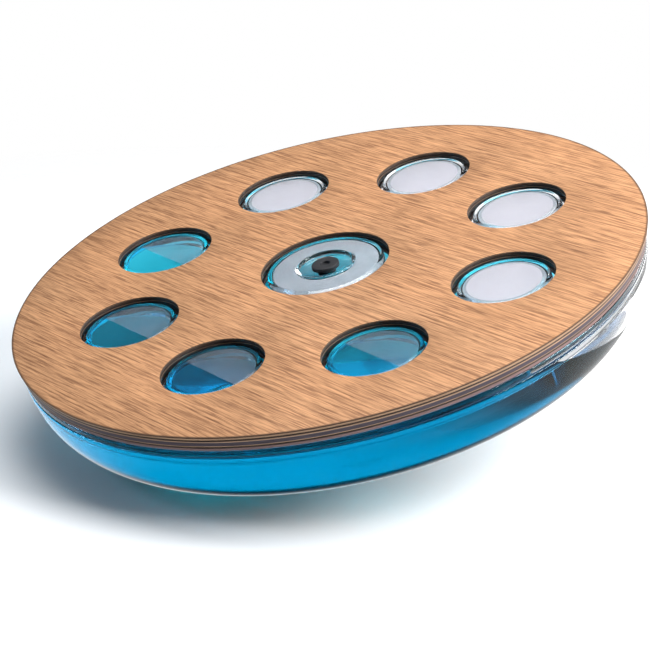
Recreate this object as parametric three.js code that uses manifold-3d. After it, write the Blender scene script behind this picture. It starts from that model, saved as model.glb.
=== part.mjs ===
// A water-filled balance board: a round oak-veneered plywood deck bonded on top of a clear plastic
// tank. The tank's lid carries eight round window bosses and one centre boss, which stand up
// through holes in the deck. Millimetres, +Z up, origin at the middle of the tank's small flat foot.
import * as THREE from 'three';
import { mergeVertices } from 'three/addons/utils/BufferGeometryUtils.js';
import Module from 'manifold-3d';

// Driving dimensions.
const DECK_RADIUS = 265;
const DECK_EDGE_TAPER = 0.22; // inward lean of the deck's rim, mm per mm of depth
const WINDOW_COUNT = 8;
const WINDOW_RING_RADIUS = 167;
const WINDOW_HOLE_RADIUS = 41.5;
const CENTRE_HOLE_RADIUS = 54;

const CROWN_RADIUS = 530; // the dome's main rocking radius
const KNUCKLE_RADIUS = 54; // the tight curve from the crown up to the wall
const DOME_RADIUS = 260; // outside of the wall
const FOOT_RADIUS = 25; // flat cut at the dome's lowest point
const WALL = 3; // every moulded tank wall

const FLANGE_RADIUS = 261.4;
const FLANGE_INNER_RADIUS = 250;
const FLANGE_HEIGHT = 4.8;
const GASKET_HEIGHT = 1.2;
const GASKET_INSET = 0.8;
const BOND_HEIGHT = 0.7;
const FIT_GAP = 0.1; // between faces that lie flat on each other
const WATER_GAP = 0.5; // between the water body and the tank wall

const WINDOW_BOSS_DROP = 3; // below the deck's top face
const CENTRE_BOSS_DROP = 1.2;
const BOSS_DRAFT = 1.5; // each boss is this much narrower at its top
const BOSS_FILLET = 2.5;
const WINDOW_BOSS_RADIUS = 39;
const CENTRE_BOSS_RADIUS = 50.5;
const WELL_RADIUS = 22; // the stopper's recess in the centre boss
const WELL_FILLET = 1.5;
const WELL_DEPTH = 3.9; // from the collar's top
const COLLAR_RISE = 1.2; // the raised ring round the well
const COLLAR_WIDTH = 3.6;
const COLLAR_BEVEL = 0.7;
const FILLER_HOLE_RADIUS = 8.6;

const PLUG_HEAD_RADIUS = 11.5;
const PLUG_HEAD_HEIGHT = 3.5;
const PLUG_STEM_TOP_RADIUS = 8.2;
const PLUG_STEM_END_RADIUS = 7;
const PLUG_STEM_LENGTH = 10;
const PLUG_SOCKET_RADIUS = 4;
const PLUG_SOCKET_DEPTH = 2.2;
const PLUG_HOLLOW_RADIUS = 5.5;
const PLUG_HOLLOW_RISE = 0.3; // how far the stem's hollow runs up into the head

const WATER_LEVEL = 93; // height of the still water's surface above the foot

// The deck's laminations from the top down.
const GLUE_LINE = 0.15;
const OAK = { color: 0xd9a878, roughness: 0.55 };
const PALE_PLY = { color: 0xd8b58a, roughness: 0.7 };
const DARK_PLY = { color: 0x5c4334, roughness: 0.75 };
const CORE_PLY = { color: 0x77696b, roughness: 0.75 };
const PLIES = [
  { name: 'oak_face_veneer', thickness: 0.7, finish: OAK },
  { name: 'upper_long_ply', thickness: 1.7, finish: PALE_PLY },
  { name: 'upper_cross_ply', thickness: 1.2, finish: DARK_PLY },
  { name: 'core_ply', thickness: 5.2, finish: CORE_PLY },
  { name: 'lower_cross_ply', thickness: 1.2, finish: DARK_PLY },
  { name: 'lower_long_ply', thickness: 1.7, finish: PALE_PLY },
  { name: 'backing_veneer', thickness: 0.7, finish: PALE_PLY },
];

// Facets round each circle.
const RIM_SEGMENTS = 60;
const BOSS_SEGMENTS = 16;
const CENTRE_SEGMENTS = 24;
const PLUG_SEGMENTS = 20;
const ARC_STEPS = 4;

// Heights, worked up from the foot.
const crownCentreZ = Math.sqrt(CROWN_RADIUS ** 2 - FOOT_RADIUS ** 2);
const knuckleCentreR = DOME_RADIUS - KNUCKLE_RADIUS;
const knuckleCentreZ = crownCentreZ - Math.sqrt((CROWN_RADIUS - KNUCKLE_RADIUS) ** 2 - knuckleCentreR ** 2);
const knuckleSlope = Math.atan2(knuckleCentreR, crownCentreZ - knuckleCentreZ);
const domeTopZ = knuckleCentreZ + FLANGE_HEIGHT;
const gasketZ = domeTopZ + FIT_GAP;
const lidFlangeZ = gasketZ + GASKET_HEIGHT + FIT_GAP;
const lidTopZ = lidFlangeZ + FLANGE_HEIGHT;
const bondZ = lidTopZ + FIT_GAP;
const deckBottomZ = bondZ + BOND_HEIGHT + FIT_GAP;
const deckThickness = PLIES.reduce((sum, ply) => sum + ply.thickness, GLUE_LINE * (PLIES.length - 1));
const deckTopZ = deckBottomZ + deckThickness;
const windowTopZ = deckTopZ - WINDOW_BOSS_DROP;
const centreTopZ = deckTopZ - CENTRE_BOSS_DROP;
const collarTopZ = centreTopZ + COLLAR_RISE;
const wellFloorZ = collarTopZ - WELL_DEPTH;

const wasm = await Module();
wasm.setup();

// Points on an arc about (centreR, centreZ), as [radius, height] pairs.
function arc(centreR, centreZ, radius, startAngle, endAngle, steps = ARC_STEPS) {
  return Array.from({ length: steps + 1 }, (_, i) => {
    const angle = startAngle + ((endAngle - startAngle) * i) / steps;
    return [centreR + radius * Math.cos(angle), centreZ + radius * Math.sin(angle)];
  });
}

// Spins an anticlockwise [radius, height] outline about Z and closes it.
function revolve(outline, segments) {
  const points = outline.map(([r, z]) => new THREE.Vector2(r, z));
  const closed = outline[0][0] > 0 || outline.at(-1)[0] > 0;
  if (closed) points.push(points[0].clone());
  return new THREE.LatheGeometry(points, segments).rotateX(Math.PI / 2);
}

function circlePoints(radius, segments, x = 0, y = 0) {
  return Array.from({ length: segments }, (_, i) => {
    const angle = (2 * Math.PI * i) / segments;
    return new THREE.Vector2(x + radius * Math.cos(angle), y + radius * Math.sin(angle));
  });
}

function windowPlaces() {
  return Array.from({ length: WINDOW_COUNT }, (_, i) => {
    const angle = (2 * Math.PI * i) / WINDOW_COUNT;
    return [WINDOW_RING_RADIUS * Math.cos(angle), WINDOW_RING_RADIUS * Math.sin(angle)];
  });
}

function toSolid(geometry) {
  const bare = geometry.clone();
  bare.deleteAttribute('normal');
  bare.deleteAttribute('uv');
  const merged = mergeVertices(bare);
  const vertProperties = new Float32Array(merged.attributes.position.array);
  const triVerts = new Uint32Array(merged.index.array);
  return new wasm.Manifold(new wasm.Mesh({ numProp: 3, vertProperties, triVerts }));
}

function fromSolid(solid) {
  const { vertProperties, triVerts } = solid.getMesh();
  const geometry = new THREE.BufferGeometry();
  geometry.setAttribute('position', new THREE.BufferAttribute(vertProperties, 3));
  geometry.setIndex(new THREE.BufferAttribute(triVerts, 1));
  geometry.computeVertexNormals();
  return geometry;
}

const board = new THREE.Group();

function addPiece(name, geometry, { color, roughness, metalness = 0, opacity = 1 }) {
  const material = new THREE.MeshStandardMaterial({
    color,
    roughness,
    metalness,
    opacity,
    transparent: opacity < 1,
  });
  const mesh = new THREE.Mesh(geometry, material);
  mesh.name = name;
  board.add(mesh);
}

// One lamination of the deck: a disc with the centre hole and the ring of window holes.
function plyGeometry(radius, thickness) {
  const shape = new THREE.Shape(circlePoints(radius, RIM_SEGMENTS));
  shape.holes.push(new THREE.Path(circlePoints(CENTRE_HOLE_RADIUS, CENTRE_SEGMENTS)));
  for (const [x, y] of windowPlaces()) {
    shape.holes.push(new THREE.Path(circlePoints(WINDOW_HOLE_RADIUS, BOSS_SEGMENTS, x, y)));
  }
  return new THREE.ExtrudeGeometry(shape, { depth: thickness, bevelEnabled: false });
}

function addDeck() {
  let topZ = deckTopZ;
  for (const { name, thickness, finish } of PLIES) {
    const bottomZ = topZ - thickness;
    const radius = DECK_RADIUS - DECK_EDGE_TAPER * (deckTopZ - topZ);
    addPiece(name, plyGeometry(radius, thickness).translate(0, 0, bottomZ), finish);
    topZ = bottomZ - GLUE_LINE;
  }
}

// The dome's profile from the foot to the top of its wall, moved inwards by an offset.
function domeProfile(offset) {
  const crown = CROWN_RADIUS - offset;
  const down = -Math.PI / 2;
  const footAngle = offset > 0 ? 0 : Math.asin(FOOT_RADIUS / CROWN_RADIUS);
  const crownArc = arc(0, crownCentreZ, crown, down + footAngle, down + knuckleSlope, ARC_STEPS + 1);
  const knuckleArc = arc(knuckleCentreR, knuckleCentreZ, KNUCKLE_RADIUS - offset, down + knuckleSlope, 0);
  return [...crownArc, ...knuckleArc.slice(1)];
}

// The clear lower half of the tank: foot, crown, knuckle and a flange round its rim.
function domeGeometry() {
  const outside = [[0, 0], ...domeProfile(0)];
  const flange = [
    [FLANGE_RADIUS, knuckleCentreZ],
    [FLANGE_RADIUS, domeTopZ],
    [FLANGE_INNER_RADIUS, domeTopZ],
    [DOME_RADIUS - WALL, knuckleCentreZ - WALL],
  ];
  const inside = domeProfile(WALL).slice(0, -1).reverse();
  inside.at(-1)[0] = 0;
  return revolve([...outside, ...flange, ...inside], RIM_SEGMENTS);
}

// The still water, level in the dome.
function waterGeometry() {
  const offset = WALL + WATER_GAP;
  const wetted = domeProfile(offset).filter(([, z]) => z < WATER_LEVEL);
  wetted[0][0] = 0;
  const levelAngle = Math.asin((WATER_LEVEL - knuckleCentreZ) / (KNUCKLE_RADIUS - offset));
  const edge = [knuckleCentreR + (KNUCKLE_RADIUS - offset) * Math.cos(levelAngle), WATER_LEVEL];
  return revolve([...wetted, edge, [0, WATER_LEVEL]], RIM_SEGMENTS);
}

// Outside of a boss from the lid's plate up, with a rounded top edge.
function bossSolid(radius, topZ, segments) {
  const topRadius = radius - BOSS_DRAFT;
  const shoulder = arc(topRadius - BOSS_FILLET, topZ - BOSS_FILLET, BOSS_FILLET, 0, Math.PI / 2, 3);
  const startZ = lidTopZ - WALL / 2;
  return toSolid(revolve([[0, startZ], [radius, startZ], ...shoulder, [0, topZ]], segments));
}

// The hollow under a boss, open to the tank below.
function bossHollow(radius, topZ, segments) {
  const mouthZ = lidTopZ - 2 * WALL;
  const ceilingZ = topZ - WALL;
  const base = radius - WALL;
  const top = base - BOSS_DRAFT;
  return toSolid(revolve([
    [0, mouthZ],
    [base, mouthZ],
    [top, ceilingZ - 1],
    [top - 1, ceilingZ],
    [0, ceilingZ],
  ], segments));
}

// The raised ring round the well in the centre boss.
function collarSolid() {
  const outerRadius = WELL_RADIUS + COLLAR_WIDTH;
  return toSolid(revolve([
    [0, centreTopZ - 1],
    [outerRadius, centreTopZ - 1],
    [outerRadius, collarTopZ - COLLAR_BEVEL],
    [outerRadius - COLLAR_BEVEL, collarTopZ],
    [0, collarTopZ],
  ], CENTRE_SEGMENTS));
}

// What is cut out of the collar and the boss for the stopper's head.
function wellSolid() {
  const floorRadius = WELL_RADIUS - WELL_FILLET;
  return toSolid(revolve([
    [0, wellFloorZ],
    [floorRadius, wellFloorZ],
    ...arc(floorRadius, wellFloorZ + WELL_FILLET, WELL_FILLET, -Math.PI / 2, 0, 2).slice(1),
    [WELL_RADIUS, collarTopZ - COLLAR_BEVEL],
    [WELL_RADIUS + COLLAR_BEVEL, collarTopZ],
    [WELL_RADIUS + COLLAR_BEVEL, collarTopZ + 1],
    [0, collarTopZ + 1],
  ], CENTRE_SEGMENTS));
}

// The wall under the well, which the centre boss's hollow goes round.
function wellUndersideSolid() {
  return toSolid(revolve([
    [0, wellFloorZ - WALL],
    [WELL_RADIUS, wellFloorZ - WALL],
    [WELL_RADIUS + WALL, centreTopZ - WALL],
    [WELL_RADIUS + WALL, centreTopZ],
    [0, centreTopZ],
  ], CENTRE_SEGMENTS));
}

function fillerHoleSolid() {
  return toSolid(revolve([
    [0, wellFloorZ - 2 * WALL],
    [FILLER_HOLE_RADIUS, wellFloorZ - 2 * WALL],
    [FILLER_HOLE_RADIUS, wellFloorZ + 1],
    [0, wellFloorZ + 1],
  ], PLUG_SEGMENTS));
}

function lidGeometry() {
  const plateBottomZ = lidTopZ - WALL;
  const plate = revolve([
    [0, plateBottomZ],
    [FLANGE_INNER_RADIUS, plateBottomZ],
    [FLANGE_INNER_RADIUS, lidFlangeZ],
    [FLANGE_RADIUS, lidFlangeZ],
    [FLANGE_RADIUS, lidTopZ],
    [0, lidTopZ],
  ], RIM_SEGMENTS);
  const windowBoss = bossSolid(WINDOW_BOSS_RADIUS, windowTopZ, BOSS_SEGMENTS);
  const windowHollow = bossHollow(WINDOW_BOSS_RADIUS, windowTopZ, BOSS_SEGMENTS);
  const centreHollow = bossHollow(CENTRE_BOSS_RADIUS, centreTopZ, CENTRE_SEGMENTS);
  let lid = toSolid(plate);
  for (const [x, y] of windowPlaces()) {
    lid = lid.add(windowBoss.translate([x, y, 0]));
  }
  for (const [x, y] of windowPlaces()) {
    lid = lid.subtract(windowHollow.translate([x, y, 0]));
  }
  lid = lid.add(bossSolid(CENTRE_BOSS_RADIUS, centreTopZ, CENTRE_SEGMENTS));
  lid = lid.subtract(centreHollow.subtract(wellUndersideSolid()));
  lid = lid.add(collarSolid());
  return fromSolid(lid.subtract(wellSolid()).subtract(fillerHoleSolid()));
}

function ringGeometry(innerRadius, outerRadius, bottomZ, height, segments) {
  return revolve([
    [innerRadius, bottomZ],
    [outerRadius, bottomZ],
    [outerRadius, bottomZ + height],
    [innerRadius, bottomZ + height],
  ], segments);
}

// The stopper: a thick round head with a blind socket, on a tapered stem that is hollow from below.
function plugGeometry() {
  const seatZ = wellFloorZ + FIT_GAP;
  const topZ = seatZ + PLUG_HEAD_HEIGHT;
  const endZ = seatZ - PLUG_STEM_LENGTH;
  const bevel = 0.8;
  const hollowTopZ = seatZ + PLUG_HOLLOW_RISE;
  return revolve([
    [0, hollowTopZ],
    [PLUG_HOLLOW_RADIUS, hollowTopZ],
    [PLUG_HOLLOW_RADIUS, endZ],
    [PLUG_STEM_END_RADIUS, endZ],
    [PLUG_STEM_TOP_RADIUS, seatZ - WALL],
    [PLUG_STEM_TOP_RADIUS, seatZ],
    [PLUG_HEAD_RADIUS, seatZ],
    [PLUG_HEAD_RADIUS, topZ - bevel],
    [PLUG_HEAD_RADIUS - bevel, topZ],
    [PLUG_SOCKET_RADIUS, topZ],
    [PLUG_SOCKET_RADIUS, topZ - PLUG_SOCKET_DEPTH],
    [0, topZ - PLUG_SOCKET_DEPTH],
  ], PLUG_SEGMENTS);
}

addDeck();
addPiece('rim_bond_ring', ringGeometry(
  FLANGE_INNER_RADIUS - 5, FLANGE_RADIUS - 2, bondZ, BOND_HEIGHT, RIM_SEGMENTS,
), { color: 0xc8ccd0, roughness: 0.5, opacity: 0.6 });
addPiece('centre_bond_ring', ringGeometry(
  CENTRE_HOLE_RADIUS + 3, CENTRE_HOLE_RADIUS + 17, bondZ, BOND_HEIGHT, CENTRE_SEGMENTS,
), { color: 0xc8ccd0, roughness: 0.5, opacity: 0.6 });
addPiece('tank_lid', lidGeometry(), { color: 0xe6f2f8, roughness: 0.05, opacity: 0.3 });
addPiece('seam_gasket', ringGeometry(
  FLANGE_INNER_RADIUS + 1, FLANGE_RADIUS - GASKET_INSET, gasketZ, GASKET_HEIGHT, RIM_SEGMENTS,
), { color: 0x1c3a50, roughness: 0.4 });
addPiece('tank_dome', domeGeometry(), { color: 0xe6f2f8, roughness: 0.05, opacity: 0.3 });
addPiece('water_fill', waterGeometry(), { color: 0x0a8fd0, roughness: 0.02, opacity: 0.7 });
addPiece('filler_plug', plugGeometry(), { color: 0x1c1e22, roughness: 0.6 });

export default board;
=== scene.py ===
import math

import bmesh
import bpy
from mathutils import Matrix, Vector


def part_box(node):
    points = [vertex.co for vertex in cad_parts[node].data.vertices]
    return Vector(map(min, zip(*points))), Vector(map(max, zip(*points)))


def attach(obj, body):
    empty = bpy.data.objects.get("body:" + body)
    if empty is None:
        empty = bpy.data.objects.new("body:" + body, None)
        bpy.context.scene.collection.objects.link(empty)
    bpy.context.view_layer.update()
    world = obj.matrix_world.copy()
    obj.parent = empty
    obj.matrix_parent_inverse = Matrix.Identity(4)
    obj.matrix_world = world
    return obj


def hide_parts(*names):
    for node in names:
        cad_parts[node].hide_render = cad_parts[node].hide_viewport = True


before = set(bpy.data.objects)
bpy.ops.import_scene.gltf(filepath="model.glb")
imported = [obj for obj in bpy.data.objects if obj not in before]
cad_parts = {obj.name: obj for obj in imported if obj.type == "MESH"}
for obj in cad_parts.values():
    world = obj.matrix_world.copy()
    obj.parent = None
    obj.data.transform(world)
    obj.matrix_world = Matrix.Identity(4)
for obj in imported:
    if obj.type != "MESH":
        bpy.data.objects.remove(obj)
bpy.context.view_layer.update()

# ---------------------------------------------------------------- sizes, in metres
MM = 0.001
TURN = 2 * math.pi

DECK_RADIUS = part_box("oak_face_veneer")[1].x
DECK_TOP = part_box("oak_face_veneer")[1].z
EDGE_TAPER = 0.22  # inward lean of the deck's rim
EDGE_ROUND = 0.25 * MM  # of a ply's corners, at most
WINDOW_COUNT = 8
WINDOW_RING = 167 * MM
WINDOW_HOLE = 41.5 * MM
CENTRE_HOLE = 54 * MM

REST_GAP = 0.1 * MM  # left between pieces that rest on each other

CROWN = 530 * MM  # radius of the dome's shallow middle
KNUCKLE = 54 * MM  # radius of its turn up to the flange
DOME_RADIUS = 260 * MM
FOOT = 25 * MM
WALL = 3 * MM
FLANGE_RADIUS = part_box("tank_dome")[1].x
FLANGE_INNER = 250 * MM
FLANGE_ROUND = 0.8 * MM
FLANGE_LAP = 0.3 * MM  # the dome's outline turns into its flange this far below it
DOME_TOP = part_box("tank_dome")[1].z
LID_FLANGE_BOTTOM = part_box("tank_lid")[0].z
LID_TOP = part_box("rim_bond_ring")[0].z - REST_GAP
LID_UNDERSIDE = LID_TOP - WALL

WINDOW_TOP = DECK_TOP - 3 * MM
CENTRE_TOP = DECK_TOP - 1.2 * MM
COLLAR_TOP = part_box("tank_lid")[1].z
BOSS_DRAFT = 1.5 * MM
BOSS_FILLET = 2.5 * MM
HOLLOW_FILLET = 2.5 * MM
WINDOW_BOSS = 39 * MM
WINDOW_MOUTH = WINDOW_BOSS - WALL  # radius of the mouth of a window's hollow
CENTRE_BOSS = 50.5 * MM
WELL = 22 * MM
WELL_FILLET = 1.5 * MM
WELL_FLOOR = COLLAR_TOP - 3.9 * MM
COLLAR_WIDTH = 3.6 * MM
COLLAR_ROUND = 0.9 * MM
FILLER_HOLE = 8.6 * MM

WATER_BITE = 0.3 * MM  # how far the water's surface lies inside the plastic that it wets

# ---------------------------------------------------------------- how the board leans
TILT = math.radians(15.63)
UPHILL_TURN = math.radians(25.0)
UPHILL = Vector((math.cos(UPHILL_TURN), math.sin(UPHILL_TURN), 0))
UP = Vector((math.sin(TILT) * UPHILL.x, math.sin(TILT) * UPHILL.y, math.cos(TILT)))
CROWN_CENTRE = Vector((0, 0, math.sqrt(CROWN**2 - FOOT**2)))
TOUCH_POINT = CROWN_CENTRE - CROWN * UP
WATER_HEIGHT = 100.9 * MM  # of the slanted surface, along UP from the row's origin

KNUCKLE_R = DOME_RADIUS - KNUCKLE
KNUCKLE_Z = CROWN_CENTRE.z - math.sqrt((CROWN - KNUCKLE) ** 2 - KNUCKLE_R**2)
KNUCKLE_SLOPE = math.atan2(KNUCKLE_R, CROWN_CENTRE.z - KNUCKLE_Z)


# ---------------------------------------------------------------- mesh helpers
SHARP_ANGLE = math.radians(35)  # edges that turn more than this stay crisp
TINY = 1e-7  # closer than this counts as touching


def spread(start, end, steps):
    return [start + (end - start) * i / steps for i in range(steps + 1)]


def arc(centre_r, centre_z, radius, start, end, steps):
    angles = spread(start, end, steps)
    return [(centre_r + radius * math.cos(a), centre_z + radius * math.sin(a)) for a in angles]


def circle(radius, steps, x=0.0, y=0.0):
    angles = [TURN * i / steps for i in range(steps)]
    return [(x + radius * math.cos(a), y + radius * math.sin(a)) for a in angles]


def window_places():
    angles = [TURN * i / WINDOW_COUNT for i in range(WINDOW_COUNT)]
    return [(WINDOW_RING * math.cos(a), WINDOW_RING * math.sin(a)) for a in angles]


def add_lathe(bm, outline, steps, x=0.0, y=0.0):
    """Spins an anticlockwise (radius, height) outline about a vertical axis, into a closed body."""
    rows = []
    for r, z in outline:
        points = [(x, y)] if r < TINY else circle(r, steps, x, y)
        rows.append([bm.verts.new((px, py, z)) for px, py in points])
    for low, high in zip(rows, rows[1:] + rows[:1]):
        if len(low) == 1 and len(high) == 1:
            continue
        for i in range(steps):
            j = (i + 1) % steps
            if len(low) == 1:
                bm.faces.new((low[0], high[j], high[i]))
            elif len(high) == 1:
                bm.faces.new((low[i], low[j], high[0]))
            else:
                bm.faces.new((low[i], low[j], high[j], high[i]))


def finish_mesh(bm, name):
    mesh = bpy.data.meshes.new(name)
    bm.to_mesh(mesh)
    bm.free()
    piece = bpy.data.objects.new(name, mesh)
    bpy.context.scene.collection.objects.link(piece)
    smooth(piece)
    return piece


def smooth(piece):
    piece.data.polygons.foreach_set("use_smooth", [True] * len(piece.data.polygons))
    piece.data.set_sharp_from_angle(angle=SHARP_ANGLE)


def lathe(name, outline, steps, places=((0.0, 0.0),)):
    bm = bmesh.new()
    for x, y in places:
        add_lathe(bm, outline, steps, x, y)
    return finish_mesh(bm, name)


def combine(piece, other, operation):
    """Joins another closed body to a piece or cuts it away, and removes the other."""
    modifier = piece.modifiers.new("combine", "BOOLEAN")
    modifier.operation = operation
    modifier.object = other
    modifier.solver = "MANIFOLD"
    evaluated = piece.evaluated_get(bpy.context.evaluated_depsgraph_get())
    mesh = bpy.data.meshes.new_from_object(evaluated)
    piece.modifiers.clear()
    mesh.materials.clear()
    piece.data = mesh
    bpy.data.objects.remove(other)
    smooth(piece)


def cut_away(piece, point, normal, **side):
    """Cuts a body along a plane, drops the side that is asked for and closes the cut."""
    bm = bmesh.new()
    bm.from_mesh(piece.data)
    everything = bm.verts[:] + bm.edges[:] + bm.faces[:]
    made = bmesh.ops.bisect_plane(
        bm, geom=everything, dist=TINY, plane_co=point, plane_no=normal, **side
    )
    edges = [e for e in made["geom_cut"] if isinstance(e, bmesh.types.BMEdge)]
    bmesh.ops.triangle_fill(bm, edges=edges, normal=normal, use_beauty=True)
    bmesh.ops.recalc_face_normals(bm, faces=bm.faces)
    bm.to_mesh(piece.data)
    bm.free()
    smooth(piece)


def cut_above(piece, height):
    """Leaves what lies below the level plane at this height along UP."""
    cut_away(piece, UP * height, UP, clear_outer=True)


def keep_uphill(piece, start):
    """Leaves what lies uphill of this distance from the axis."""
    cut_away(piece, UPHILL * start, UPHILL, clear_inner=True)


def plate(name, loops, section):
    """A flat body with holes. A loop is (x, y, radius, steps, side), with side 1 on the rim and -1 round
    a hole. The section is (inset, height) from the top face's edge to the bottom face's edge."""
    bm = bmesh.new()
    top_edges = []
    bottom_edges = []
    for x, y, radius, steps, side in loops:
        rows = []
        for inset, z in section:
            points = circle(radius - side * inset, steps, x, y)
            rows.append([bm.verts.new((px, py, z)) for px, py in points])
        for high, low in zip(rows, rows[1:]):
            for i in range(steps):
                j = (i + 1) % steps
                bm.faces.new((low[i], low[j], high[j], high[i]))
        for row, edges in ((rows[0], top_edges), (rows[-1], bottom_edges)):
            edges += [bm.edges.get((row[i], row[(i + 1) % steps])) for i in range(steps)]
    bmesh.ops.triangle_fill(bm, edges=top_edges, normal=(0, 0, 1), use_beauty=True)
    bmesh.ops.triangle_fill(bm, edges=bottom_edges, normal=(0, 0, -1), use_beauty=True)
    bmesh.ops.recalc_face_normals(bm, faces=bm.faces)
    return finish_mesh(bm, name)


def dress(piece, body, materials, nodes=()):
    for material in materials:
        piece.data.materials.append(material)
    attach(piece, body)
    if nodes:
        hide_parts(*nodes)


# ---------------------------------------------------------------- materials
class Nodes:
    """A short way to write one material's node tree."""

    def __init__(self, name):
        self.material = bpy.data.materials.new(name)
        self.material.use_nodes = True
        self.tree = self.material.node_tree
        self.shader = self.tree.nodes["Principled BSDF"]
        self.output = self.tree.nodes["Material Output"]

    def add(self, kind, inputs=(), **settings):
        node = self.tree.nodes.new("ShaderNode" + kind)
        for key, value in settings.items():
            setattr(node, key, value)
        for key, value in dict(inputs).items():
            self.put(node.inputs[key], value)
        return node

    def put(self, socket, value):
        if isinstance(value, bpy.types.NodeSocket):
            self.tree.links.new(value, socket)
        else:
            socket.default_value = value

    def set(self, **values):
        for key, value in values.items():
            self.put(self.shader.inputs[key.replace("_", " ")], value)

    def place(self, scale, turn=0.0):
        coords = self.add("TexCoord").outputs["Object"]
        turned = self.add("Mapping", {"Vector": coords, "Rotation": (0, 0, turn)})
        return self.add("Mapping", {"Vector": turned.outputs[0], "Scale": scale}).outputs[0]

    def noise(self, vector, detail=2.0, roughness=0.5, distortion=0.0):
        inputs = {"Vector": vector, "Scale": 1.0, "Detail": detail, "Roughness": roughness}
        return self.add("TexNoise", {**inputs, "Distortion": distortion}).outputs["Fac"]

    def ramp(self, factor, *stops):
        node = self.add("ValToRGB", {"Fac": factor})
        elements = node.color_ramp.elements
        while len(elements) < len(stops):
            elements.new(0.5)
        for element, (position, colour) in zip(elements, stops):
            element.position = position
            element.color = (*colour, 1)
        return node.outputs["Color"]

    def grey(self, factor, low, high, start=0.0, end=1.0):
        inputs = {"Value": factor, "From Min": start, "From Max": end, "To Min": low, "To Max": high}
        return self.add("MapRange", inputs).outputs["Result"]

    def blend(self, factor, a, b, mode="MIX"):
        node = self.add("Mix", data_type="RGBA", blend_type=mode)
        self.put(node.inputs["Factor"], factor)
        self.put(node.inputs[6], a if not isinstance(a, tuple) else (*a, 1))
        self.put(node.inputs[7], b if not isinstance(b, tuple) else (*b, 1))
        return node.outputs[2]

    def bump(self, height, distance, strength=1.0):
        node = self.add("Bump", {"Height": height, "Distance": distance, "Strength": strength})
        self.put(self.shader.inputs["Normal"], node.outputs[0])


GRAIN_TURN = math.radians(63.7)  # turns the grain's run onto the X axis
RIM_TONE_AND_SHADE_START = DECK_RADIUS - 2.2 * MM  # the face darkens from here to the rim: partly the veneer's own dark edge, partly painted shade of the rounded edge
RIM_TONE_AND_SHADE_END = DECK_RADIUS - 0.8 * MM


def oak_face():
    """Straight-grained oak veneer: broad tone bands, fine fibre lines, short dark pores, and a dark rim
    band that is partly the veneer's own dark edge and partly painted shade.
    """
    n = Nodes("oak_face")
    bands = n.noise(n.place((1.2, 22, 1), GRAIN_TURN), detail=3, distortion=0.3)
    fibres = n.noise(n.place((15, 560, 1), GRAIN_TURN), detail=3, roughness=0.75)
    pores = n.noise(n.place((30, 700, 1), GRAIN_TURN), detail=2, roughness=0.6)
    fine = n.noise(n.place((48, 1300, 1), GRAIN_TURN), detail=1)
    base = n.ramp(
        bands,
        (0.28, (0.48, 0.242, 0.113)),
        (0.50, (0.51, 0.26, 0.124)),
        (0.74, (0.54, 0.285, 0.14)),
    )
    lines = n.ramp(
        fibres,
        (0.36, (0.52, 0.46, 0.42)),
        (0.50, (0.97, 0.96, 0.95)),
        (0.64, (1.22, 1.21, 1.20)),
    )
    fibrous = n.blend(1.0, base, lines, "MULTIPLY")
    pore_mask = n.grey(pores, 1.0, 0.0, 0.36, 0.45)
    fine_mask = n.grey(fine, 1.0, 0.0, 0.34, 0.46)
    grainy = n.blend(n.grey(fine_mask, 0.0, 0.45), fibrous, (0.22, 0.095, 0.042))
    dark = n.blend(n.grey(pore_mask, 0.0, 0.65), grainy, (0.16, 0.063, 0.028))
    coords = n.add("TexCoord").outputs["Object"]
    flat = n.add("VectorMath", {0: coords, 1: (1, 1, 0)}, operation="MULTIPLY")
    reach = n.add("VectorMath", {0: flat.outputs[0]}, operation="LENGTH").outputs["Value"]
    # dark rim band: partly the veneer's own dark edge, partly painted shade of the rounded edge
    rim_tone_and_shade = n.grey(reach, 0.0, 0.85, RIM_TONE_AND_SHADE_START, RIM_TONE_AND_SHADE_END)
    with_rim_tone_and_shade = n.blend(rim_tone_and_shade, dark, (0.075, 0.036, 0.018))
    n.set(Base_Color=with_rim_tone_and_shade, Roughness=n.grey(fibres, 0.62, 0.48), Specular_IOR_Level=0.3)
    n.bump(n.grey(pore_mask, 1.0, 0.0), 0.12 * MM, 0.5)
    return n.material


def ply_edge(name, light, dark):
    """The sawn, lacquered edge of one lamination, with streaks that run round the rim."""
    n = Nodes(name)
    streaks = n.noise(n.place((30, 30, 1400)), detail=4, roughness=0.65)
    specks = n.noise(n.place((260, 260, 900)), detail=2)
    tone = n.blend(n.grey(streaks, 0.0, 1.0, 0.3, 0.7), dark, light)
    colour = n.blend(n.grey(specks, 0.0, 0.35, 0.5, 0.7), tone, dark)
    n.set(Base_Color=colour, Roughness=n.grey(specks, 0.45, 0.65))
    n.bump(streaks, 0.05 * MM, 0.4)
    return n.material


CORE_LIGHT = (0.36, 0.23, 0.14)
CORE_GREY = (0.070, 0.055, 0.070)


def core_edge():
    """The core's edge: a grey-brown middle between two pale outer layers."""
    n = Nodes("core_edge")
    low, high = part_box("core_ply")
    height = n.add("SeparateXYZ", {"Vector": n.add("TexCoord").outputs["Object"]}).outputs["Z"]
    across = n.grey(height, 0.0, 1.0, low.z, high.z)
    layers = n.ramp(
        across,
        (0.0, CORE_LIGHT),
        (0.13, CORE_LIGHT),
        (0.16, CORE_GREY),
        (0.80, CORE_GREY),
        (0.83, CORE_LIGHT),
        (1.0, CORE_LIGHT),
    )
    streaks = n.noise(n.place((30, 30, 1500)), detail=4, roughness=0.65)
    shade = n.ramp(streaks, (0.3, (0.6, 0.6, 0.62)), (0.7, (1.25, 1.2, 1.2)))
    n.set(Base_Color=n.blend(1.0, layers, shade, "MULTIPLY"), Roughness=0.5)
    n.bump(streaks, 0.05 * MM, 0.4)
    return n.material


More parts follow.
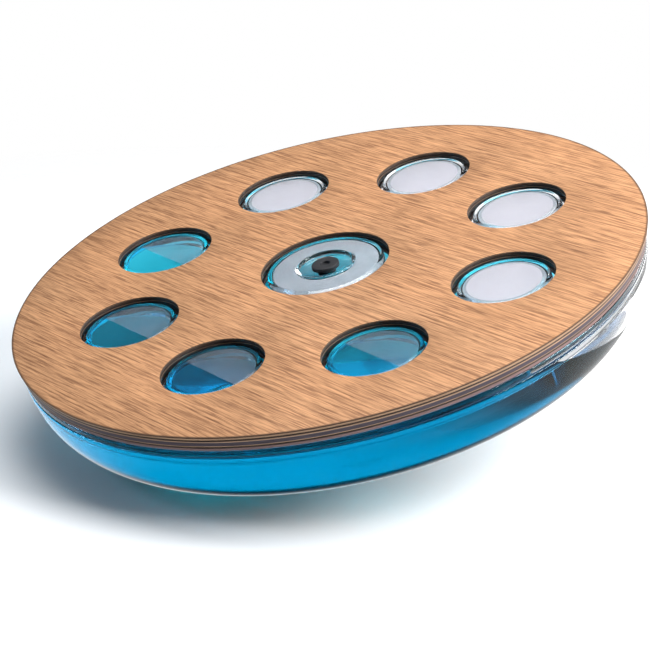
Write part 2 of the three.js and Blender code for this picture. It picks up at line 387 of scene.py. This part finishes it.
def clear_plastic(name, glint=1.0):
    """Clear moulded plastic with very faint waves in its surface. Wetted faces do not glint."""
    n = Nodes(name)
    waves = n.noise(n.place((14, 14, 14)), detail=1)
    n.set(Base_Color=(1, 1, 1, 1), Roughness=0.0, IOR=1.47, Transmission_Weight=1.0)
    n.set(Specular_Tint=(glint, glint, glint, 1))
    n.bump(waves, 0.3 * MM, 0.15)
    return n.material


LEVEL_ENOUGH = (0.9990, 0.9998)  # how square to UP a face of the water is to count as its level top


def blue_water():
    """Dyed water. It mirrors at its level top only; against the plastic it does not reflect."""
    n = Nodes("blue_water")
    n.set(Base_Color=(0.30, 0.80, 1.0, 1), Roughness=0.0, IOR=1.33, Transmission_Weight=1.0)
    normal = n.add("NewGeometry").outputs["Normal"]
    level = n.add("VectorMath", {0: normal, 1: UP}, operation="DOT_PRODUCT").outputs["Value"]
    flatness = n.add("Math", {0: level}, operation="ABSOLUTE").outputs[0]
    n.set(Specular_Tint=n.grey(flatness, 0.0, 1.0, *LEVEL_ENOUGH))
    dye = n.add("VolumeAbsorption", {"Color": (0.0, 0.926, 0.942, 1), "Density": 28.0})
    n.tree.links.new(dye.outputs["Volume"], n.output.inputs["Volume"])
    return n.material


def mist(name, colour, least, most):
    """Fine droplets on the dry inside of a window, covering between these shares of it."""
    n = Nodes(name)
    drops = n.noise(n.place((900, 900, 900)), detail=3, roughness=0.7)
    patches = n.noise(n.place((45, 45, 45)), detail=3)
    cover = n.blend(n.grey(patches, 0.0, 0.5), drops, patches)
    n.set(Base_Color=(*colour, 1), Roughness=0.55, Alpha=n.grey(cover, least, most, 0.35, 0.65))
    return n.material


def gasket_rubber():
    n = Nodes("gasket_rubber")
    grain = n.noise(n.place((300, 300, 300)), detail=2)
    colour = n.blend(grain, (0.008, 0.035, 0.075), (0.016, 0.06, 0.12))
    n.set(Base_Color=colour, Roughness=n.grey(grain, 0.35, 0.5))
    return n.material


def bond_film():
    n = Nodes("bond_film")
    grain = n.noise(n.place((200, 200, 200)), detail=2)
    n.set(Base_Color=n.blend(grain, (0.62, 0.66, 0.68), (0.74, 0.78, 0.80)), Roughness=0.4)
    return n.material


def stopper_rubber():
    """Matt black moulded rubber with a fine grain and dust in its dips."""
    n = Nodes("stopper_rubber")
    grain = n.noise(n.place((2600, 2600, 2600)), detail=3, roughness=0.7)
    dust = n.noise(n.place((420, 420, 420)), detail=4)
    colour = n.blend(n.grey(dust, 0.0, 0.5, 0.5, 0.75), (0.010, 0.011, 0.014), (0.032, 0.034, 0.040))
    n.set(Base_Color=colour, Roughness=n.grey(grain, 0.45, 0.65), Specular_IOR_Level=0.4)
    n.bump(grain, 0.05 * MM, 0.5)
    return n.material


# ---------------------------------------------------------------- camera, from the deck's middle
VIEW_TURN = math.radians(-6.73)
VIEW_ELEVATION = math.radians(26.878)
VIEW_ROLL = math.radians(13.942)
VIEW_DISTANCE = 1.7070
VIEW_RIGHT = 0.0001
VIEW_DROP = 0.0512  # the picture's middle lies this far below the deck's middle
LENS = 115.14
SENSOR = 36

VIEW_AXES = (
    Matrix.Rotation(VIEW_TURN, 3, "Z")
    @ Matrix.Rotation(math.pi / 2 - VIEW_ELEVATION, 3, "X")
    @ Matrix.Rotation(-VIEW_ROLL, 3, "Z")
)

# The room: right and away as the viewer sees them, and up along UP.
ROOM_AWAY = (VIEW_AXES @ Vector((0, 0, -1))).cross(UP).cross(UP).normalized() * -1
ROOM_RIGHT = ROOM_AWAY.cross(UP)


def build_camera():
    data = bpy.data.cameras.new("camera")
    data.lens = LENS
    data.sensor_width = SENSOR
    data.clip_start = 0.05
    data.clip_end = 50
    camera = bpy.data.objects.new("camera", data)
    bpy.context.scene.collection.objects.link(camera)
    deck_middle = Vector((0, 0, DECK_TOP))
    place = deck_middle + VIEW_AXES @ Vector((VIEW_RIGHT, -VIEW_DROP, VIEW_DISTANCE))
    camera.matrix_world = Matrix.Translation(place) @ VIEW_AXES.to_4x4()
    bpy.context.scene.camera = camera


def room_point(right, away, up):
    return TOUCH_POINT + ROOM_RIGHT * right + ROOM_AWAY * away + UP * up


# ---------------------------------------------------------------- the deck
RIM_STEPS = 288
HOLE_STEPS = 120
CORNER_STEPS = 3
RIM_DEPTH = 10 * MM  # faces this near the deck's outline belong to its rim
FLAT = 0.9  # a face whose normal rises more than this is a flat one


def deck_loops(radius):
    windows = [(x, y, WINDOW_HOLE, HOLE_STEPS, -1) for x, y in window_places()]
    return [(0, 0, radius, RIM_STEPS, 1), (0, 0, CENTRE_HOLE, HOLE_STEPS, -1), *windows]


def rounded_section(bottom, top, edge, lean):
    """From the top face's edge to the bottom face's edge, with both corners rounded."""
    upper = spread(0, math.pi / 2, CORNER_STEPS)
    lower = spread(math.pi / 2, math.pi, CORNER_STEPS)
    points = [(edge - edge * math.sin(a), top - edge + edge * math.cos(a)) for a in upper]
    points += [(edge - edge * math.sin(a), bottom + edge + edge * math.cos(a)) for a in lower]
    return [(inset + lean * (top - z), z) for inset, z in points]


def ply_looks():
    """For each ply, from the top: its node, slot, rim material and hole wall material. The hole wall
    materials are darkened copies of the ply edges that paint the shade inside the holes.
    """
    # the oak veneer's rim: its own dark edge, darkened further as painted shade of the rounded top edge
    veneer_rim_tone_and_shade = ply_edge("veneer_rim_tone_and_painted_shade", (0.075, 0.038, 0.018), (0.028, 0.014, 0.008))
    pale = ply_edge("pale_ply_edge", (0.42, 0.26, 0.15), (0.22, 0.125, 0.07))
    dark = ply_edge("dark_ply_edge", (0.070, 0.042, 0.030), (0.022, 0.013, 0.010))
    tan = ply_edge("tan_ply_edge", (0.26, 0.165, 0.15), (0.15, 0.09, 0.085))
    # hole walls: the ply edges darkened, as painted shade inside the holes
    pale_wall_painted_shade = ply_edge("pale_hole_wall_painted_shade", (0.085, 0.052, 0.036), (0.040, 0.024, 0.017))
    dark_wall_painted_shade = ply_edge("dark_hole_wall_painted_shade", (0.020, 0.013, 0.010), (0.010, 0.007, 0.006))
    return (
        ("oak_face_veneer", "oak", veneer_rim_tone_and_shade, dark_wall_painted_shade),
        ("upper_long_ply", "pale_ply", pale, pale_wall_painted_shade),
        ("upper_cross_ply", "dark_ply", dark, dark_wall_painted_shade),
        ("core_ply", "core_ply", core_edge(), dark_wall_painted_shade),
        ("lower_cross_ply", "dark_ply", dark, dark_wall_painted_shade),
        ("lower_long_ply", "pale_ply", tan, pale_wall_painted_shade),
        ("backing_veneer", "pale_ply", tan, dark_wall_painted_shade),
    )


def build_deck():
    face = oak_face()
    for node, slot, rim_material, wall_material in ply_looks():
        low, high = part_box(node)
        edge = min(EDGE_ROUND, (high.z - low.z) / 4)
        section = rounded_section(low.z, high.z, edge, EDGE_TAPER)
        piece = plate(node + "_sheet", deck_loops(high.x), section)
        materials = [rim_material, wall_material]
        if node == "oak_face_veneer":
            materials.append(face)
        for polygon in piece.data.polygons:
            polygon.material_index = ply_face_material(polygon, len(materials))
        dress(piece, "board", materials, [node])


def ply_face_material(polygon, count):
    """0 for the deck's rim and flat faces, 1 for the walls of its holes, 2 for the veneer's top."""
    if polygon.normal.z > FLAT and count > 2:
        return 2
    on_rim = math.hypot(polygon.center.x, polygon.center.y) > DECK_RADIUS - RIM_DEPTH
    return 0 if on_rim or abs(polygon.normal.z) > FLAT else 1


# ---------------------------------------------------------------- the tank
DOME_STEPS = 256
BOSS_STEPS = 128
FILLER_STEPS = 64
CROWN_ROWS = 40
KNUCKLE_ROWS = 20


def dome_profile(offset):
    """The dome from its pole to its flange, this far inside its outer face."""
    down = -math.pi / 2
    foot = 0 if offset else math.asin(FOOT / CROWN)
    crown = arc(0, CROWN_CENTRE.z, CROWN - offset, down + foot, down + KNUCKLE_SLOPE, CROWN_ROWS)
    knuckle = arc(KNUCKLE_R, KNUCKLE_Z, KNUCKLE - offset, down + KNUCKLE_SLOPE, 0, KNUCKLE_ROWS)
    return crown + knuckle[1:]


def flange_section(bottom, top):
    """The outer edge of a flange, from its lower corner up, with both corners rounded."""
    middle = FLANGE_RADIUS - FLANGE_ROUND
    lower = arc(middle, bottom + FLANGE_ROUND, FLANGE_ROUND, -math.pi / 2, 0, 4)
    upper = arc(middle, top - FLANGE_ROUND, FLANGE_ROUND, 0, math.pi / 2, 4)
    return lower + upper


def water_height_at(point):
    """Height along UP of the water over a point of the tank's inside."""
    if point.z > LID_UNDERSIDE:
        for x, y in wet_windows():
            if math.hypot(point.x - x, point.y - y) < WINDOW_BOSS:
                return bubble_height(x, y)
    return WATER_HEIGHT


def faces_inside(polygon):
    """Whether a face of the dome or the lid looks into the tank."""
    centre = polygon.center
    if centre.z < LID_FLANGE_BOTTOM:
        looks_in = polygon.normal.dot(centre - CROWN_CENTRE) < 0
        return looks_in and math.hypot(centre.x, centre.y) < DOME_RADIUS - MM
    bosses = [(0.0, 0.0), *window_places()]
    near = min(bosses, key=lambda p: math.hypot(centre.x - p[0], centre.y - p[1]))
    inwards = Vector((near[0] - centre.x, near[1] - centre.y, 0)).normalized()
    return polygon.normal.z < -0.3 or (centre.z < WINDOW_TOP - WALL and polygon.normal.dot(inwards) > 0.5)


def wet_faces(piece):
    """Gives a tank piece's second material to the faces that the water wets."""
    for polygon in piece.data.polygons:
        under_water = UP.dot(polygon.center) < water_height_at(polygon.center)
        polygon.material_index = 1 if under_water and faces_inside(polygon) else 0


def build_dome(materials):
    outside = [(0.0, 0.0), *dome_profile(0)[:-1], (DOME_RADIUS, KNUCKLE_Z - FLANGE_LAP)]
    inside = [(r, z) for r, z in reversed(dome_profile(WALL)) if z < KNUCKLE_Z - WALL]
    inside[-1] = (0.0, inside[-1][1])
    rim = [(FLANGE_INNER, DOME_TOP), (DOME_RADIUS - WALL, KNUCKLE_Z - WALL)]
    outline = outside + flange_section(KNUCKLE_Z, DOME_TOP) + rim + inside
    piece = lathe("clear_dome", outline, DOME_STEPS)
    dress(piece, "board", materials, ["tank_dome"])
    wet_faces(piece)


def boss_outline(radius, height):
    top = radius - BOSS_DRAFT
    shoulder = arc(top - BOSS_FILLET, height - BOSS_FILLET, BOSS_FILLET, 0, math.pi / 2, 10)
    start = LID_TOP - WALL / 2
    return [(0.0, start), (radius, start), *shoulder, (0.0, height)]


def hollow_outline(radius, mouth, ceiling, grow=0.0):
    """The hollow under a boss. grow moves every wetted face outwards into the plastic."""
    base = radius - WALL + grow
    top = base - BOSS_DRAFT
    height = ceiling + grow
    crown = arc(top - HOLLOW_FILLET, height - HOLLOW_FILLET, HOLLOW_FILLET, 0, math.pi / 2, 6)
    return [(0.0, mouth), (base, mouth), *crown, (0.0, height)]


def well_underside(grow=0.0):
    low = WELL_FLOOR - WALL + grow
    wide = WELL + WALL - grow
    foot = [(0.0, low), (WELL - grow, low)]
    return [*foot, (wide, CENTRE_TOP - WALL), (wide, CENTRE_TOP), (0.0, CENTRE_TOP)]


def well_outline():
    """The stopper's well: a filleted floor, a wall, and a lip rounded into the collar's top."""
    floor_r = WELL - WELL_FILLET
    bowl = arc(floor_r, WELL_FLOOR + WELL_FILLET, WELL_FILLET, -math.pi / 2, 0, 8)
    lip = arc(WELL + COLLAR_ROUND, COLLAR_TOP - COLLAR_ROUND, COLLAR_ROUND, math.pi, math.pi / 2, 6)
    above = COLLAR_TOP + MM
    return [(0.0, WELL_FLOOR), *bowl, *lip, (WELL + COLLAR_ROUND, above), (0.0, above)]


def collar_outline():
    outer = WELL + COLLAR_WIDTH
    low = CENTRE_TOP - MM
    edge = arc(outer - COLLAR_ROUND, COLLAR_TOP - COLLAR_ROUND, COLLAR_ROUND, 0, math.pi / 2, 6)
    return [(0.0, low), (outer, low), *edge, (0.0, COLLAR_TOP)]


def build_lid(materials):
    outline = [
        (0.0, LID_UNDERSIDE),
        (FLANGE_INNER, LID_UNDERSIDE),
        (FLANGE_INNER, LID_FLANGE_BOTTOM),
        *flange_section(LID_FLANGE_BOTTOM, LID_TOP),
        (0.0, LID_TOP),
    ]
    lid = lathe("clear_lid", outline, DOME_STEPS)
    mouth = LID_TOP - 2 * WALL
    window_boss = boss_outline(WINDOW_BOSS, WINDOW_TOP)
    window_hollow = hollow_outline(WINDOW_BOSS, mouth, WINDOW_TOP - WALL)
    combine(lid, lathe("bosses", window_boss, BOSS_STEPS, window_places()), "UNION")
    combine(lid, lathe("centre_boss", boss_outline(CENTRE_BOSS, CENTRE_TOP), BOSS_STEPS), "UNION")
    combine(lid, lathe("hollows", window_hollow, BOSS_STEPS, window_places()), "DIFFERENCE")
    ring = lathe("ring", hollow_outline(CENTRE_BOSS, mouth, CENTRE_TOP - WALL), BOSS_STEPS)
    combine(ring, lathe("under_well", well_underside(), BOSS_STEPS), "DIFFERENCE")
    combine(lid, ring, "DIFFERENCE")
    combine(lid, lathe("collar", collar_outline(), BOSS_STEPS), "UNION")
    combine(lid, lathe("well", well_outline(), BOSS_STEPS), "DIFFERENCE")
    hole = [(0.0, mouth), (FILLER_HOLE, mouth), (FILLER_HOLE, WELL_FLOOR + MM), (0.0, WELL_FLOOR + MM)]
    combine(lid, lathe("hole", hole, FILLER_STEPS), "DIFFERENCE")
    dress(lid, "board", materials, ["tank_lid"])
    wet_faces(lid)


def build_ring(name, node, material, hole, steps, edge=0.0):
    """A flat ring as wide and thick as its CAD node, with a hole of this radius."""
    low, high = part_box(node)
    loops = [(0, 0, high.x, steps, 1), (0, 0, hole, steps, -1)]
    section = rounded_section(low.z, high.z, edge, 0.0) if edge else [(0, high.z), (0, low.z)]
    dress(plate(name, loops, section), "board", [material], [node])


def build_rings():
    film = bond_film()
    rim_hole = FLANGE_INNER - 5 * MM
    centre_hole = CENTRE_HOLE + 3 * MM
    seal_hole = FLANGE_INNER + MM
    build_ring("rim_bond_film", "rim_bond_ring", film, rim_hole, RIM_STEPS)
    build_ring("centre_bond_film", "centre_bond_ring", film, centre_hole, HOLE_STEPS)
    build_ring("seam_seal", "seam_gasket", gasket_rubber(), seal_hole, RIM_STEPS, 0.3 * MM)


# ---------------------------------------------------------------- the water and the mist
def bubble_height(x, y):
    """Height along UP of the water in a window whose mouth is under water: air is caught above the
    highest point of the mouth's edge."""
    return UP.dot(Vector((x, y, LID_UNDERSIDE)) + UPHILL * WINDOW_MOUTH)


def wet_windows():
    return [(x, y) for x, y in window_places() if bubble_height(x, y) < WATER_HEIGHT]


def tank_inside():
    """Outline of the tank's inside without the bosses, as far into the plastic as the water lies."""
    inner = [(r, z) for r, z in dome_profile(WALL - WATER_BITE) if z < KNUCKLE_Z - WALL]
    inner[0] = (0.0, inner[0][1])
    ceiling = LID_UNDERSIDE + WATER_BITE
    side = FLANGE_INNER + WATER_BITE
    knuckle_end = (DOME_RADIUS - WALL + WATER_BITE, KNUCKLE_Z - WALL)
    return [*inner, knuckle_end, (side, DOME_TOP), (side, ceiling), (0.0, ceiling)]


def build_water():
    """The water as it lies in the leaning board: level along UP, with air caught in the low windows."""
    water = lathe("blue_water", tank_inside(), DOME_STEPS)
    cut_above(water, WATER_HEIGHT)
    start = LID_UNDERSIDE - MM
    pocket_outline = hollow_outline(WINDOW_BOSS, start, WINDOW_TOP - WALL, WATER_BITE)
    for x, y in wet_windows():
        pocket = lathe("pocket", pocket_outline, BOSS_STEPS, [(x, y)])
        cut_above(pocket, bubble_height(x, y))
        combine(water, pocket, "UNION")
    ring_outline = hollow_outline(CENTRE_BOSS, start, CENTRE_TOP - WALL, WATER_BITE)
    ring = lathe("ring", ring_outline, BOSS_STEPS)
    combine(ring, lathe("under_well", well_underside(WATER_BITE), BOSS_STEPS), "DIFFERENCE")
    cut_above(ring, WATER_HEIGHT)
    combine(water, ring, "UNION")
    dress(water, "board", [blue_water()], ["water_fill"])


MIST_THICK = 0.1 * MM
MIST_GAP = 0.05 * MM
MIST_REACH = 7 * MM  # how far mist runs down a boss's wall from its ceiling
FROST_RADIUS = 30 * MM  # of the white disc in a window that the water never reaches


def mist_shell(radius, ceiling, inner=0.0, down_wall=False):
    """A thin film under a boss's ceiling and round its corner, as a closed (radius, height) outline."""
    mouth = ceiling - MIST_REACH
    first = 1 if down_wall else 2
    outside = hollow_outline(radius, mouth, ceiling, -MIST_GAP)[first:-1]
    inside = hollow_outline(radius, mouth, ceiling, -MIST_GAP - MIST_THICK)[first:-1]
    return [(inner, inside[-1][1]), *reversed(inside), *outside, (inner, outside[-1][1])]


def frost_disc():
    top = WINDOW_TOP - WALL - MIST_GAP
    low = top - MIST_THICK
    return [(0.0, low), (FROST_RADIUS, low), (FROST_RADIUS, top), (0.0, top)]


def dry_start():
    """How far towards the uphill side of a wet window its dry part starts, from the window's middle."""
    return WINDOW_MOUTH - (WINDOW_TOP - WALL - LID_UNDERSIDE) / math.tan(TILT)


def set_mist(piece, material, x=0.0, y=0.0):
    piece.data.transform(Matrix.Translation((x, y, 0)))
    dress(piece, "board", [material])


def build_mist():
    thin = mist("thin_mist", (0.55, 0.72, 0.92), 0.06, 0.22)
    haze = mist("haze", (0.84, 0.88, 0.96), 0.40, 0.70)
    thick = mist("thick_mist", (0.92, 0.91, 1.0), 0.88, 1.0)
    wet = wet_windows()
    window_ceiling = WINDOW_TOP - WALL
    shell = mist_shell(WINDOW_BOSS, window_ceiling)
    rim = mist_shell(WINDOW_BOSS, window_ceiling, FROST_RADIUS + MIST_GAP, down_wall=True)
    for number, (x, y) in enumerate(window_places(), start=1):
        if (x, y) in wet:
            piece = lathe(f"window_mist_{number}", shell, BOSS_STEPS)
            keep_uphill(piece, dry_start())
            set_mist(piece, thin, x, y)
        else:
            set_mist(lathe(f"window_mist_{number}", frost_disc(), BOSS_STEPS), thick, x, y)
            set_mist(lathe(f"window_mist_rim_{number}", rim, BOSS_STEPS), haze, x, y)
    ring = mist_shell(CENTRE_BOSS, CENTRE_TOP - WALL, WELL + WALL + MIST_GAP)
    set_mist(lathe("centre_mist", ring, BOSS_STEPS), haze)


# ---------------------------------------------------------------- the stopper
STOPPER_STEPS = 96
HEAD_ROUND = 0.7 * MM
SMALL_ROUND = 0.4 * MM
SOCKET = 4 * MM  # the blind hole in the stopper's head
SOCKET_DEPTH = 2.2 * MM
SOCKET_ROUND = 0.5 * MM
STEM_TOP = 8.2 * MM
STEM_STRAIGHT = 3 * MM
STEM_END = 7 * MM
STEM_HOLLOW = 5.5 * MM
STEM_HOLLOW_RISE = 0.3 * MM  # of the stem's hollow above the head's seat


def stopper_outline(low, head, top):
    """From under the head, down the hollow and up the stem, round the head and into its socket."""
    seat = WELL_FLOOR + REST_GAP
    hollow_top = seat + STEM_HOLLOW_RISE
    floor = top - SOCKET_DEPTH
    down = -math.pi / 2
    flat = math.pi / 2
    stem_corner = arc(STEM_END - SMALL_ROUND, low + SMALL_ROUND, SMALL_ROUND, down, 0, 4)
    head_corner = arc(head - SMALL_ROUND, seat + SMALL_ROUND, SMALL_ROUND, down, 0, 4)
    head_edge = arc(head - HEAD_ROUND, top - HEAD_ROUND, HEAD_ROUND, 0, flat, 6)
    socket_lip = arc(SOCKET + SOCKET_ROUND, top - SOCKET_ROUND, SOCKET_ROUND, flat, math.pi, 4)
    socket_foot = arc(SOCKET - SOCKET_ROUND, floor + SOCKET_ROUND, SOCKET_ROUND, 0, down, 4)
    stem = [(STEM_TOP, seat - STEM_STRAIGHT), (STEM_TOP, seat)]
    hollow = [(0.0, hollow_top), (STEM_HOLLOW, hollow_top), (STEM_HOLLOW, low)]
    outside = [*hollow, *stem_corner, *stem, *head_corner, *head_edge]
    return [*outside, *socket_lip, *socket_foot, (0.0, floor)]


def build_stopper():
    low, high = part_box("filler_plug")
    piece = lathe("rubber_stopper", stopper_outline(low.z, high.x, high.z), STOPPER_STEPS)
    dress(piece, "stopper", [stopper_rubber()], ["filler_plug"])


# ---------------------------------------------------------------- floor, lights and background
FLOOR_RADIUS = 1.1
FADE_START = 0.6
FLOOR_MIDDLE = 0.3
FLOOR_STEPS = 96


def floor_paint():
    """Pale and matt, clear from below and towards the rim."""
    n = Nodes("floor")
    n.set(Base_Color=(0.93, 0.945, 0.96, 1), Roughness=0.7, Specular_IOR_Level=0.2)
    clear = n.add("BsdfTransparent")
    coords = n.add("TexCoord").outputs["Object"]
    away = n.add("VectorMath", {0: coords, 1: TOUCH_POINT}, operation="DISTANCE")
    rim = n.grey(away.outputs["Value"], 0.0, 1.0, FADE_START, FLOOR_RADIUS)
    back = n.add("NewGeometry").outputs["Backfacing"]
    hidden = n.add("Math", {0: rim, 1: back}, operation="MAXIMUM").outputs[0]
    both = n.add("MixShader", {0: hidden, 1: n.shader.outputs[0], 2: clear.outputs[0]})
    n.tree.links.new(both.outputs[0], n.output.inputs["Surface"])
    return n.material


def build_floor():
    """A round floor square to UP under the leaning board, left out of mirror-like reflections."""
    bm = bmesh.new()
    rings = []
    for radius in (FLOOR_MIDDLE, FADE_START, FLOOR_RADIUS):
        rings.append([bm.verts.new(room_point(x, y, 0)) for x, y in circle(radius, FLOOR_STEPS)])
    bm.faces.new(rings[0])
    for inner, outer in zip(rings, rings[1:]):
        for i in range(FLOOR_STEPS):
            j = (i + 1) % FLOOR_STEPS
            bm.faces.new((inner[i], outer[i], outer[j], inner[j]))
    bm.normal_update()
    for face in bm.faces:
        if face.normal.dot(UP) < 0:
            face.normal_flip()
    floor = finish_mesh(bm, "floor")
    floor.data.materials.append(floor_paint())
    floor.visible_glossy = False


def add_softbox(name, place, target, size, power, colour=(1, 1, 1)):
    data = bpy.data.lights.new(name, "AREA")
    data.shape = "RECTANGLE"
    data.size, data.size_y = size
    data.energy = power
    data.color = colour
    light = bpy.data.objects.new(name, data)
    bpy.context.scene.collection.objects.link(light)
    aim = (target - place).normalized()
    light.matrix_world = Matrix.Translation(place) @ aim.to_track_quat("-Z", "Y").to_matrix().to_4x4()


FRONT_LIGHT = 0.12  # of the room behind the viewer, which the camera's side reflects
BACK_LIGHT = 0.9
BACKDROP_SIDE = ROOM_AWAY + 0.6 * ROOM_RIGHT - 1.2 * UP
BACKDROP_EDGE = (0.35, 0.9)
GROUND_EDGE = (-0.85, -0.45)  # rays that point steeper down than this meet no light


def facing_step(tree, direction, edges, values):
    """A soft step between two values, over how far a ray points along a direction."""
    coords = tree.nodes.new("ShaderNodeTexCoord")
    facing = tree.nodes.new("ShaderNodeVectorMath")
    facing.operation = "DOT_PRODUCT"
    facing.inputs[1].default_value = direction
    tree.links.new(coords.outputs["Generated"], facing.inputs[0])
    step = tree.nodes.new("ShaderNodeMapRange")
    step.interpolation_type = "SMOOTHSTEP"
    for name, value in zip(("From Min", "From Max", "To Min", "To Max"), (*edges, *values)):
        step.inputs[name].default_value = value
    tree.links.new(facing.outputs["Value"], step.inputs["Value"])
    return step.outputs["Result"]


def build_world():
    """A white backdrop behind the board and a dim room in front. The camera sees it all as white."""
    world = bpy.data.worlds.new("studio")
    bpy.context.scene.world = world
    world.use_nodes = True
    tree = world.node_tree
    room = facing_step(tree, BACKDROP_SIDE, BACKDROP_EDGE, (FRONT_LIGHT, BACK_LIGHT))
    above = facing_step(tree, UP, GROUND_EDGE, (0.0, 1.0))
    backdrop = tree.nodes.new("ShaderNodeMath")
    backdrop.operation = "MULTIPLY"
    tree.links.new(room, backdrop.inputs[0])
    tree.links.new(above, backdrop.inputs[1])
    strength = tree.nodes.new("ShaderNodeMix")
    strength.data_type = "FLOAT"
    path = tree.nodes.new("ShaderNodeLightPath")
    tree.links.new(path.outputs["Is Camera Ray"], strength.inputs[0])
    tree.links.new(backdrop.outputs[0], strength.inputs[2])
    strength.inputs[3].default_value = 1.0
    background = tree.nodes["Background"]
    background.inputs["Color"].default_value = (1, 1, 1, 1)
    tree.links.new(strength.outputs[0], background.inputs["Strength"])


def build_lights():
    build_world()
    middle = room_point(0.05, 0.1, 0.1)
    add_softbox("key", room_point(1.3, -0.45, 0.95), middle, (1.1, 1.1), 49.0)
    add_softbox("overhead", room_point(0.0, 0.3, 1.5), middle, (1.2, 1.2), 18.0)
    add_softbox("back_right", room_point(1.0, 0.9, 0.4), middle, (0.8, 0.6), 7.0)
    add_softbox("left_strip", room_point(-1.5, 0.2, 0.5), middle, (0.3, 1.2), 9.0, (0.45, 0.72, 1.0))


def set_quality():
    scene = bpy.context.scene
    scene.view_settings.view_transform = "Standard"
    scene.cycles.max_bounces = 24
    scene.cycles.transmission_bounces = 24
    scene.cycles.glossy_bounces = 8
    scene.cycles.diffuse_bounces = 5
    scene.cycles.transparent_max_bounces = 24
    scene.cycles.blur_glossy = 0.5
    scene.cycles.sample_clamp_indirect = 6.0


build_camera()
build_deck()
tank_materials = [clear_plastic("clear_plastic"), clear_plastic("wetted_plastic", 0.0)]
build_dome(tank_materials)
build_lid(tank_materials)
build_rings()
build_water()
build_mist()
build_stopper()
build_floor()
build_lights()
set_quality()
